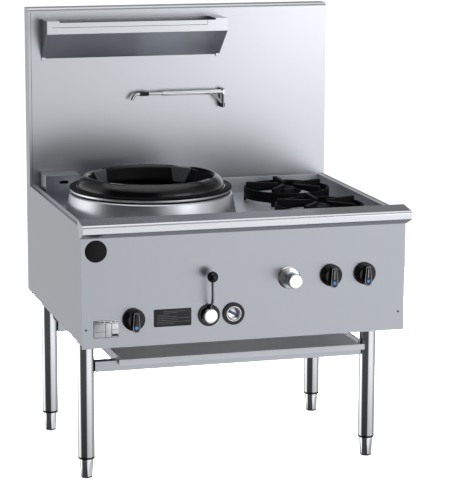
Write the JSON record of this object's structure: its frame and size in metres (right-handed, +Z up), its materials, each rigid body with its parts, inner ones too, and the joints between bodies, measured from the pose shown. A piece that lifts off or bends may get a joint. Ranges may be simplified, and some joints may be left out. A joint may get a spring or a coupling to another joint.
{
  "type": "wok range",
  "caption": "Free-standing gas wok range with a wok station on a conical collar, open burners, splashback with shelf and swivel spout, and a drip tray on runners.",
  "frame": {"origin": "middle of the footprint at floor level", "axes": "+Z up, +X to the cook's right, +Y towards the splashback"},
  "size_m": [0.952, 0.844, 1.3],
  "materials": {
    "satin_steel": "satin brushed stainless sheet",
    "polished_steel": "polished stainless",
    "galvanised_steel": "dull galvanised",
    "black_enamel": "glossy vitreous enamel",
    "cast_iron": "matt cast",
    "black_plastic": "moulded black, soft gloss",
    "brass": "machined",
    "chrome": "bright plated"
  },
  "bodies": {
    "root": {"front_panel": "satin_steel", "front_rail": "satin_steel", "left_side_panel": "satin_steel", "right_side_panel": "satin_steel", "hob_pan": "satin_steel", "drain_cover_box": "satin_steel", "splashback": "satin_steel", "condiment_shelf": "satin_steel", "cross_rail_front": "satin_steel", "cross_rail_rear": "satin_steel", "tray_runner_left": "satin_steel", "tray_runner_right": "satin_steel", "wok_collar": "polished_steel", "leg_front_left": "polished_steel", "leg_front_right": "polished_steel", "leg_rear_left": "polished_steel", "leg_rear_right": "polished_steel", "rear_panel": "galvanised_steel", "frame_rail_left": "galvanised_steel", "frame_rail_right": "galvanised_steel", "wok_chamber": "galvanised_steel", "wok_gas_pipe": "galvanised_steel", "gas_manifold": "galvanised_steel", "wok_burner": "cast_iron", "burner_front": "cast_iron", "burner_rear": "cast_iron", "burner_cap_front": "cast_iron", "burner_cap_rear": "cast_iron", "leg_collar_front_left": "black_plastic", "leg_collar_front_right": "black_plastic", "leg_collar_rear_left": "black_plastic", "leg_collar_rear_right": "black_plastic", "lever_bezel": "black_plastic", "sight_port": "black_plastic", "pilot_valve": "brass", "front_burner_valve": "brass", "rear_burner_valve": "brass", "wok_valve": "brass", "water_valve": "brass", "tap_flange": "chrome", "spout_bracket": "chrome"},
    "pilot_stem": {"pilot_spindle": "brass"},
    "pilot_knob": {"pilot_knob": "black_plastic"},
    "front_burner_stem": {"front_burner_spindle": "brass"},
    "front_burner_knob": {"front_burner_knob": "black_plastic"},
    "rear_burner_stem": {"rear_burner_spindle": "brass"},
    "rear_burner_knob": {"rear_burner_knob": "black_plastic"},
    "lever": {"wok_lever": "chrome", "wok_lever_ball": "black_plastic"},
    "water_tap": {"water_tap_knob": "chrome"},
    "spout": {"spout_arm": "chrome"},
    "spout_outlet": {"spout_nozzle": "chrome"},
    "tray": {"drip_tray": "satin_steel"},
    "foot_front_left": {"foot_front_left": "polished_steel"},
    "foot_front_right": {"foot_front_right": "polished_steel"},
    "foot_rear_left": {"foot_rear_left": "polished_steel"},
    "foot_rear_right": {"foot_rear_right": "polished_steel"},
    "ring": {"wok_ring": "black_enamel"},
    "trivet_front": {"trivet_front": "cast_iron"},
    "trivet_rear": {"trivet_rear": "cast_iron"}
  },
  "joints": [
    {"name": "pilot_knob_push", "type": "slide", "parent": "root", "child": "pilot_stem", "axis": [0, 1, 0], "range_m": [0, 0.004], "stiffness_N_per_m": 600},
    {"name": "pilot_knob_turn", "type": "hinge", "parent": "pilot_stem", "child": "pilot_knob", "pos_m": [-0.3255, -0.358, 0.496], "axis": [0, -1, 0], "range_deg": [0, 180]},
    {"name": "front_burner_knob_push", "type": "slide", "parent": "root", "child": "front_burner_stem", "axis": [0, 1, 0], "range_m": [0, 0.004], "stiffness_N_per_m": 600},
    {"name": "front_burner_knob_turn", "type": "hinge", "parent": "front_burner_stem", "child": "front_burner_knob", "pos_m": [0.249, -0.358, 0.5905], "axis": [0, -1, 0], "range_deg": [0, 180]},
    {"name": "rear_burner_knob_push", "type": "slide", "parent": "root", "child": "rear_burner_stem", "axis": [0, 1, 0], "range_m": [0, 0.004], "stiffness_N_per_m": 600},
    {"name": "rear_burner_knob_turn", "type": "hinge", "parent": "rear_burner_stem", "child": "rear_burner_knob", "pos_m": [0.35, -0.358, 0.5905], "axis": [0, -1, 0], "range_deg": [0, 180]},
    {"name": "wok_lever_swing", "type": "hinge", "parent": "root", "child": "lever", "pos_m": [-0.1095, -0.358, 0.496], "axis": [0, -1, 0], "range_deg": [0, 90]},
    {"name": "water_tap_turn", "type": "hinge", "parent": "root", "child": "water_tap", "pos_m": [0.1248, -0.358, 0.5905], "axis": [0, -1, 0], "range_deg": [0, 90]},
    {"name": "spout_swivel", "type": "hinge", "parent": "root", "child": "spout", "pos_m": [0.131, 0.345, 1.0335], "axis": [0, 0, 1], "range_deg": [0, 110]},
    {"name": "spout_outlet_turn", "type": "hinge", "parent": "spout", "child": "spout_outlet", "pos_m": [-0.105, 0.345, 1.0335], "axis": [1, 0, 0], "range_deg": [-90, 90]},
    {"name": "drip_tray_slide", "type": "slide", "parent": "root", "child": "tray", "axis": [0, -1, 0], "range_m": [0, 0.5]},
    {"name": "foot_front_left_level", "type": "slide", "parent": "root", "child": "foot_front_left", "axis": [0, 0, -1], "range_m": [0, 0.03]},
    {"name": "foot_front_right_level", "type": "slide", "parent": "root", "child": "foot_front_right", "axis": [0, 0, -1], "range_m": [0, 0.03]},
    {"name": "foot_rear_left_level", "type": "slide", "parent": "root", "child": "foot_rear_left", "axis": [0, 0, -1], "range_m": [0, 0.03]},
    {"name": "foot_rear_right_level", "type": "slide", "parent": "root", "child": "foot_rear_right", "axis": [0, 0, -1], "range_m": [0, 0.03]},
    {"name": "wok_ring_lift", "type": "slide", "parent": "root", "child": "ring", "axis": [0, 0, 1], "range_m": [0, 0.12]},
    {"name": "trivet_front_lift", "type": "slide", "parent": "root", "child": "trivet_front", "axis": [0, 0, 1], "range_m": [0, 0.1]},
    {"name": "trivet_rear_lift", "type": "slide", "parent": "root", "child": "trivet_rear", "axis": [0, 0, 1], "range_m": [0, 0.1]}
  ]
}
